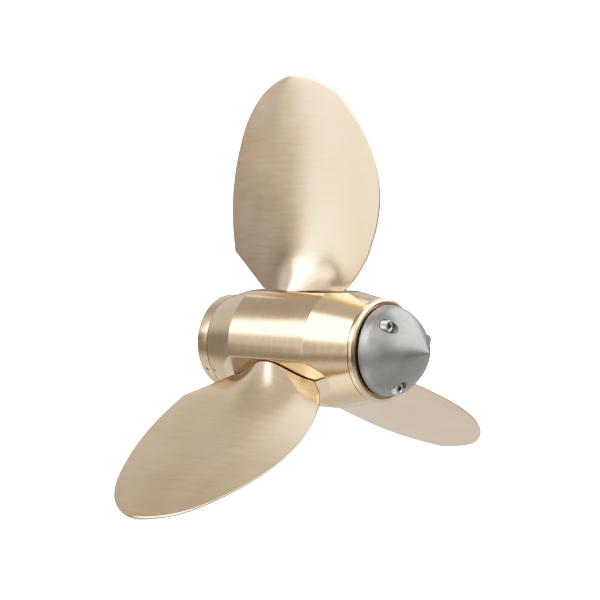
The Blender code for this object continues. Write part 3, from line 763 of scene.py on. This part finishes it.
class Paint:
    """The node tree of a material or of the world, with a method that adds any node."""

    def __init__(self, tree):
        self.tree = tree
        tree.nodes.clear()

    def node(self, kind, settings, sockets):
        """A node of a kind, with its settings first and then the values or links of its sockets."""
        made = self.tree.nodes.new(kind)
        for name, setting in settings.items():
            setattr(made, name, setting)
        for name, value in sockets.items():
            if isinstance(value, Value):
                self.tree.links.new(value.socket, made.inputs[name])
            else:
                made.inputs[name].default_value = value
        return made

    def value(self, kind, output, settings, sockets):
        """One output of a new node, as a value."""
        return Value(self, self.node(kind, settings, sockets).outputs[output])

    def math(self, operation, *values):
        """A Math node on values or numbers."""
        return self.value("ShaderNodeMath", 0, {"operation": operation}, dict(enumerate(values)))

    def coordinates(self, output):
        """The place, normal or direction that is shaded, as three values and as a vector."""
        whole = self.value("ShaderNodeTexCoord", output, {}, {})
        parts = self.node("ShaderNodeSeparateXYZ", {}, {"Vector": whole})
        return [Value(self, part) for part in parts.outputs], whole

    def vector(self, x, y, z):
        """A vector from three values."""
        return self.value("ShaderNodeCombineXYZ", 0, {}, {"X": x, "Y": y, "Z": z})

    def noise(self, vector, scale, detail=2.0, w=0.0):
        """Noise around one half, in four dimensions."""
        sockets = {"Vector": vector, "W": w, "Scale": scale, "Detail": detail}
        return self.value("ShaderNodeTexNoise", 0, {"noise_dimensions": "4D"}, sockets)

    def mix(self, factor, low, high):
        """A colour between two colours."""
        sockets = {MIX_FACTOR: factor, MIX_LOW: low, MIX_HIGH: high}
        return self.value("ShaderNodeMix", MIX_COLOUR, {"data_type": "RGBA"}, sockets)

    def bump(self, height, distance):
        """A normal that follows a height, which is given as a share of a distance."""
        return self.value("ShaderNodeBump", 0, {}, {"Height": height, "Distance": distance})

    def finish(self, **sockets):
        """The surface of a material, from the sockets of its Principled shader."""
        named = {name.replace("_", " "): value for name, value in sockets.items()}
        surface = self.value("ShaderNodeBsdfPrincipled", 0, {}, named)
        self.node("ShaderNodeOutputMaterial", {}, {"Surface": surface})


def new_finish(name):
    """A new material, and the paint for its empty node tree."""
    made = bpy.data.materials.new(name)
    made.use_nodes = True
    return made, Paint(made.node_tree)


def paint_piece(piece, finish):
    """Give a piece its finish in every slot."""
    if not piece.material_slots:
        piece.data.materials.append(finish)
    for slot in piece.material_slots:
        slot.material = finish
    print(f"{piece.name}: {finish.name}")

# %% [markdown]
# The bronze is ground to a satin finish. Its fine scratches spread a reflection across
# them and leave it sharp along them, which gives the long soft bands of brushed metal. The
# anisotropy of a shader could do this, but its direction needs a UV map. Here the scratches
# are real in the bump: noise that changes quickly across them and slowly along them. The
# same noise on a larger scale gives streaks in the colour and the gloss, between clouds and
# pale patches.

# %% Satin bronze
SCRATCHES = 3800.0
SCRATCH_HEIGHT = 0.000008
STREAK_SHARE = 0.09
ROUGHNESS_SPREAD = 0.06
CLOUDS = 22.0
CLOUD_SHARE = 0.6
CLOUD_EDGES = (0.32, 0.68)
PATCHES = 9.0
PATCH_DETAIL = 3.0
PATCH_EDGES = (0.4, 0.62)


def bronze_finish(paint, place, scratches, roughness, colours, layers=()):
    """Satin bronze: scratches in the bump and the gloss, clouds and pale patches in the colour.

    colours are the usual, deep and pale bronze. layers are pairs of a mask and its colour.
    """
    streaks = scratches(STREAK_SHARE)
    fine = scratches(1.0)
    clouds = paint.noise(place, CLOUDS)
    tone = (clouds * CLOUD_SHARE + streaks * (1 - CLOUD_SHARE)).step(*CLOUD_EDGES)
    patches = paint.noise(place, PATCHES, PATCH_DETAIL).step(*PATCH_EDGES)
    usual, deep, pale = colours
    colour = paint.mix(tone, deep, paint.mix(patches, usual, pale))
    for mask, layer in layers:
        colour = paint.mix(mask, colour, layer)
    paint.finish(
        Base_Color=colour,
        Metallic=1.0,
        Roughness=roughness + (streaks - 0.5) * ROUGHNESS_SPREAD + (clouds - 0.5) * ROUGHNESS_SPREAD,
        Normal=paint.bump(fine, SCRATCH_HEIGHT))

# %% [markdown]
# The hub, the ring, the boss and the cap are ground while they turn, so their scratches run round the
# shaft axis. The flats under the blades and the cap's face under the zinc cone are painted darker bronze,
# as painted shade under the blades and in the groove under the cone. The small index pins are a dark
# brown bronze.

# %% Turned bronze
TURNED_BRONZE = (0.79, 0.557, 0.337, 1)
TURNED_DEEP = (0.73, 0.507, 0.297, 1)
TURNED_PALE = (0.77, 0.560, 0.360, 1)
# Painted shade: the flats under the blades and the cap's face under the zinc cone get these darker
# bronzes.
FLAT_SHADE_BRONZE = (0.50, 0.378, 0.255, 1)
CAP_FACE_SHADE_BRONZE = (0.56, 0.430, 0.290, 1)
# The index pins are a dark brown bronze.
PIN_BROWN = (0.30, 0.245, 0.180, 1)
PIN_BROWN_LIGHT = (0.34, 0.280, 0.200, 1)
TURNED_ROUGHNESS = 0.15
AROUND_SPREAD = 3.0
MASK_EDGE = 0.0001


def shaded_flats(paint, y, z):
    """1 on the flats under the blades, whose distance along a blade's axis is the flat's."""
    along = [y * -math.sin(angle) + z * math.cos(angle) for angle in BLADE_ANGLES]
    highest = paint.math("MAXIMUM", paint.math("MAXIMUM", along[0], along[1]), along[2])
    return 1 - (highest - FLAT_HEIGHT).size().step(MASK_EDGE / 2, MASK_EDGE)


def turned_bronze(name, colours):
    """Bronze ground on the lathe: the noise runs quickly along the axis and the radius.

    Round the axis it runs slowly, with the point's direction from the axis, (y / r, z / r).
    """
    made, paint = new_finish(name)
    (x, y, z), place = paint.coordinates("Object")
    radius = paint.math("SQRT", y * y + z * z)
    near_axis = paint.math("MAXIMUM", radius, WELD)

    def scratches(share):
        lines = SCRATCHES * share
        around = [side / near_axis * AROUND_SPREAD for side in (y, z)]
        return paint.noise(paint.vector(x * lines, *around), 1.0, w=radius * lines)

    # Painted shade: darker bronze on the cap's face in the groove under the cone and on the flats under
    # the blades.
    shade_under_cone = x.step(CAP_RIM[0] - MASK_EDGE, CAP_RIM[0])
    layers = [(shaded_flats(paint, y, z), FLAT_SHADE_BRONZE), (shade_under_cone, CAP_FACE_SHADE_BRONZE)]
    bronze_finish(paint, place, scratches, TURNED_ROUGHNESS, colours, layers)
    return made


turned = turned_bronze("turned_bronze", (TURNED_BRONZE, TURNED_DEEP, TURNED_PALE))
pin_finish = turned_bronze("tarnished_bronze", (PIN_BROWN, PIN_BROWN_LIGHT, PIN_BROWN))
for piece in (hub, front_ring, boss, tail_cap):
    paint_piece(piece, turned)

# %% [markdown]
# The blades are ground across, from edge to edge, and their narrow rims are painted darker, as painted
# shade along the edges. Each blade has its own finish, because its scratches follow its own axis.

# %% Blade bronze
# Painted light: the blade bronze is paler than the hub's turned bronze, for the brighter light that falls
# on the blades.
BRONZE = (0.89, 0.640, 0.410, 1)
BRONZE_DEEP = (0.82, 0.580, 0.360, 1)
BRONZE_PALE = (0.87, 0.660, 0.470, 1)
# Painted shade: the blades' narrow rims get this darker bronze.
RIM_SHADE_BRONZE = (0.44, 0.370, 0.280, 1)
BLADE_ROUGHNESS = 0.20
SCRATCH_SPREAD = 30.0
RIM_EDGES = (0.35, 0.60)


def blade_bronze(index):
    """Bronze ground across the blade: the noise runs quickly along the blade's own axis.

    The rim is where the normal turns away from the blade's flat side; it is painted darker, as painted
    shade.
    """
    made, paint = new_finish(f"blade_bronze_{index + 1}")
    (x, y, z), place = paint.coordinates("Object")
    (_, normal_y, normal_z), _ = paint.coordinates("Normal")
    out_y, out_z = -math.sin(BLADE_ANGLES[index]), math.cos(BLADE_ANGLES[index])
    along = y * out_y + z * out_z
    across = z * out_y - y * out_z
    rim = 1 - (normal_z * out_y - normal_y * out_z).size().step(*RIM_EDGES)

    def scratches(share):
        lines = SCRATCHES * share
        return paint.noise(paint.vector(along * lines, x * SCRATCH_SPREAD, across * SCRATCH_SPREAD), 1.0)

    colours = (BRONZE, BRONZE_DEEP, BRONZE_PALE)
    bronze_finish(paint, place, scratches, BLADE_ROUGHNESS, colours, [(rim, RIM_SHADE_BRONZE)])
    return made


for index, blade in enumerate(blades):
    paint_piece(blade, blade_bronze(index))

# %% [markdown]
# Cast zinc is dull and grey. Its skin has the fine grain of the mould, and patches where
# it has begun to oxidise. A photo of zinc could be wrapped round the cone, but it would be
# stretched at the point, and noise in space has no seam.

# %% Cast zinc
ZINC_LIGHT = (0.288, 0.284, 0.268, 1)
ZINC_DARK = (0.218, 0.214, 0.200, 1)
ZINC_PATCHES = 60.0
ZINC_PATCH_DETAIL = 4.0
ZINC_PATCH_EDGES = (0.35, 0.65)
ZINC_PATCH_SHARE = 0.7
ZINC_ROUGHNESS = 0.34
ZINC_METALLIC = 0.75
ZINC_GRAIN = 900.0
ZINC_GRAIN_HEIGHT = 0.00005
GRAIN_DETAIL = 3.0
GRAIN_GLOSS = 0.2


def cast_zinc():
    """Dull zinc: patches and grain in the colour, and grain in the gloss and the bump."""
    made, paint = new_finish("cast_zinc")
    _, place = paint.coordinates("Object")
    patches = paint.noise(place, ZINC_PATCHES, ZINC_PATCH_DETAIL).step(*ZINC_PATCH_EDGES)
    grain = paint.noise(place, ZINC_GRAIN, GRAIN_DETAIL)
    tone = patches * ZINC_PATCH_SHARE + grain * (1 - ZINC_PATCH_SHARE)
    paint.finish(
        Base_Color=paint.mix(tone, ZINC_DARK, ZINC_LIGHT),
        Metallic=ZINC_METALLIC,
        Roughness=ZINC_ROUGHNESS + (grain - 0.5) * GRAIN_GLOSS,
        Normal=paint.bump(grain, ZINC_GRAIN_HEIGHT))
    return made


paint_piece(cone, cast_zinc())

# %% [markdown]
# The screws are stainless steel, and their sockets are painted dark, as painted shade in the hollow. A
# painted map could hold this shade. Here it follows from the distance to the nearest screw's axis, so it
# stays in the socket at any resolution. The shaft's nut and the gears are steel too.

# %% Stainless steel
STEEL = (0.66, 0.66, 0.65, 1)
STEEL_DARK = (0.50, 0.50, 0.495, 1)
STEEL_EDGES = (0.3, 0.7)
STEEL_ROUGHNESS = 0.28
STEEL_GRAIN = 700.0
STEEL_GRAIN_HEIGHT = 0.00002
# Painted shade: this dark colour fills the screws' sockets.
SOCKET_SHADE = (0.10, 0.095, 0.085, 1)
SOCKET_SHADE_SHARE = 0.75
STEEL_WORDS = ("screw", "gear", "nut")


def from_axis(paint, y, z, circle, count, start=0.0):
    """The distance to the nearest axis of a screw circle, from the angle left after whole sectors."""
    sector = math.tau / count
    angle = paint.math("WRAP", paint.math("ARCTAN2", y * -1, z) - start, -sector / 2, sector / 2)
    radius = paint.math("SQRT", y * y + z * z)
    inward = radius * paint.math("COSINE", angle) - circle
    sideways = radius * paint.math("SINE", angle)
    return paint.math("SQRT", inward * inward + sideways * sideways)


def stainless_steel(name, socket, circle):
    """Steel with a fine drawn grain, and painted shade in the sockets of the screws on a circle."""
    made, paint = new_finish(name)
    (_, y, z), place = paint.coordinates("Object")
    grain = paint.noise(place, STEEL_GRAIN, GRAIN_DETAIL)
    unshaded = from_axis(paint, y, z, *circle).step(socket * SOCKET_SHADE_SHARE, socket)
    steel = paint.mix(grain.step(*STEEL_EDGES), STEEL_DARK, STEEL)
    paint.finish(
        Base_Color=paint.mix(unshaded, SOCKET_SHADE, steel),
        Metallic=1.0,
        Roughness=STEEL_ROUGHNESS + (grain - 0.5) * GRAIN_GLOSS,
        Normal=paint.bump(grain, STEEL_GRAIN_HEIGHT))
    return made


cone_steel = stainless_steel("cone_screw_steel", CONE_SCREW[-1], CONE_SCREW_CIRCLE)
ring_steel = stainless_steel("ring_screw_steel", RING_SCREW[-1], RING_SCREW_CIRCLE)
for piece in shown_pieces():
    if "cone_screw" in piece.name:
        paint_piece(piece, cone_steel)
    elif any(word in piece.name for word in STEEL_WORDS):
        paint_piece(piece, ring_steel)
    elif "pin" in piece.name:
        paint_piece(piece, pin_finish)

# %% [markdown]
# The studio is a bright room. Metal shows what stands around it, so the light is painted
# on the world by direction. A dark strip runs along the horizon. Above it come a bright
# wall, a dimmer band and the ceiling, and below it is light ground. Soft panels add light,
# and one with a negative strength takes light away, as a black flag does. Lamps could do
# the same, but a panel that is given by its direction can be found again in the metal: a
# highlight's mirror direction names its panel. The camera itself sees plain white.
#
# Each part of the room has the two elevations, in degrees, between which it comes in, and
# then its strength. A panel has its azimuth, elevation, half width, half height and
# softness in degrees, and then its strength.

# %% Room and panels
WHITE = (1, 1, 1, 1)
CAMERA_WHITE = 8.0
HORIZON = 0.36
ROOM = {
    "wall": (5, 19, 0.62),
    "dimmer band": (32, 44, -0.40),
    "ceiling": (50, 62, 0.20),
}
GROUND = (-26, -12, 0.66)
PANELS = {
    "key panel": (-124.25, 38.5, 21.25, 20.5, 6, 5.6),
    "right panel": (-96.5, 17, 7.5, 22, 6, 2.2),
    "right fade": (-76, 4, 14, 18, 8, 1.0),
    "side strip": (-120.25, 5, 8.75, 13, 8, 2.1),
    "left strip": (-132, 10, 7, 8, 6, 0.5),
    "left shade": (-150, 14, 9, 9, 8, -0.15),
    "left flag": (180, 33, 11, 6.5, 5, -0.3),
    "left panel": (145, 51, 16, 8.5, 5, 2.2),
    "near panel": (-66, 50, 26, 15, 10, 2.1),
    "near flag": (-42, -17, 40, 13, 8, -0.25),
    "top panel": (48, 44, 62, 20, 8, 3.6),
    "rear panel": (-18, 27, 12, 15, 8, 3.0),
}

# %% Light
def soft_edge(angle, low, high):
    """A smooth step of an angle between two angles in degrees."""
    return angle.step(math.radians(low), math.radians(high))


def panel(paint, azimuth, elevation, sizes):
    """A soft-edged panel of light: its strength inside its width and height, 0 outside."""
    turn, rise, wide, high, soft, strength = sizes
    away = paint.math("WRAP", azimuth - math.radians(turn), -math.pi, math.pi).size()
    above = (elevation - math.radians(rise)).size()
    beside = soft_edge(away, wide - soft / 2, wide + soft / 2)
    beyond = soft_edge(above, high - soft / 2, high + soft / 2)
    return (1 - beside) * (1 - beyond) * strength


def light_by_direction(paint):
    """The room's parts and the panels, added up for the direction that is shaded."""
    (x, y, z), _ = paint.coordinates("Generated")
    azimuth = paint.math("ARCTAN2", y, x)
    elevation = paint.math("ARCSINE", z)
    light = HORIZON
    for low, high, strength in ROOM.values():
        light = light + strength * soft_edge(elevation, low, high)
    low, high, strength = GROUND
    light = light + strength * (1 - soft_edge(elevation, low, high))
    for sizes in PANELS.values():
        light = light + panel(paint, azimuth, elevation, sizes)
    return light


def light_the_studio():
    """The world's light by direction, and white for the camera."""
    world = bpy.data.worlds.new("studio")
    bpy.context.scene.world = world
    world.use_nodes = True
    paint = Paint(world.node_tree)
    lights = [paint.value("ShaderNodeBackground", 0, {}, {"Color": WHITE, "Strength": strength})
              for strength in (light_by_direction(paint), CAMERA_WHITE)]
    camera_ray = paint.value("ShaderNodeLightPath", "Is Camera Ray", {}, {})
    both = paint.value("ShaderNodeMixShader", 0, {}, dict(enumerate([camera_ray, *lights])))
    paint.node("ShaderNodeOutputWorld", {}, {"Surface": both})


light_the_studio()
print(f"{len(PANELS)} panels of light")

# %% [markdown]
# The floor is a pale disc, well below the blades, with a painted pool of light on the side of the key
# panel. The undersides of the bronze mirror it. A plane could do, but a disc with a thickness comes from
# the same function as the turned parts.

# %% Floor
FLOOR_HEIGHT = -0.45
FLOOR_RADIUS = 0.90
FLOOR_THICKNESS = 0.004
FLOOR_COLOUR = (0.42, 0.42, 0.42, 1)
FLOOR_ROUGHNESS = 0.9
# Painted light: the floor is paler in a pool on the key panel's side.
FLOOR_LIGHT_POOL = (0.92, 0.92, 0.92, 1)
POOL_CENTRE = (-0.20, -0.32)
POOL_EDGES = (0.12, 0.42)


def pale_floor():
    """A matt floor whose colour goes from the painted pool of light to its own with the distance from the
    pool.
    """
    made, paint = new_finish("pale_floor")
    (x, y, _), _ = paint.coordinates("Object")
    beside, before = x - POOL_CENTRE[0], y - POOL_CENTRE[1]
    away = paint.math("SQRT", beside * beside + before * before)
    paint.finish(
        Base_Color=paint.mix(away.step(*POOL_EDGES), FLOOR_LIGHT_POOL, FLOOR_COLOUR),
        Roughness=FLOOR_ROUGHNESS,
        Metallic=0.0)
    return made


def add_floor():
    """A disc with a thickness, made as a turned surface that is laid flat."""
    corners = [(0, 0, 0), (0, FLOOR_RADIUS, 0), (-FLOOR_THICKNESS, FLOOR_RADIUS, 0),
               (-FLOOR_THICKNESS, 0, 0)]
    level = Matrix.Translation((BLADE_AXIS_X, 0, FLOOR_HEIGHT)) @ Matrix.Rotation(-math.pi / 2, 4, "Y")
    floor = turned_piece("floor", corners, level)
    paint_piece(floor, pale_floor())


add_floor()

# %% [markdown]
# The panels are far brighter than the metal's darker parts. Film rounds off bright light
# softly, so that bright metal keeps its colour. The plain view transform cuts it off
# instead, so a curve is set here that follows film: steep in the shadows and ever flatter
# in the lights.

# %% Exposure
HEADROOM = 1.05
FULL_WHITE = -math.log(1 - 1 / HEADROOM)
EXPOSURES = (0.15, 0.3, 0.5, 0.7, 0.95, 1.25, 1.6, 2.0, 2.5)
COMBINED_CURVE = 3


def develop(view):
    """A soft curve for all colour channels, headroom (1 - exp(-light)), up to full white."""
    view.view_transform = "Standard"
    view.use_curve_mapping = True
    mapping = view.curve_mapping
    mapping.white_level = (FULL_WHITE,) * 3
    curve = mapping.curves[COMBINED_CURVE]
    for light in EXPOSURES:
        curve.points.new(light / FULL_WHITE, HEADROOM * (1 - math.exp(-light)))
    mapping.update()


develop(bpy.context.scene.view_settings)
print(f"full white at a light of {FULL_WHITE:.2f}")
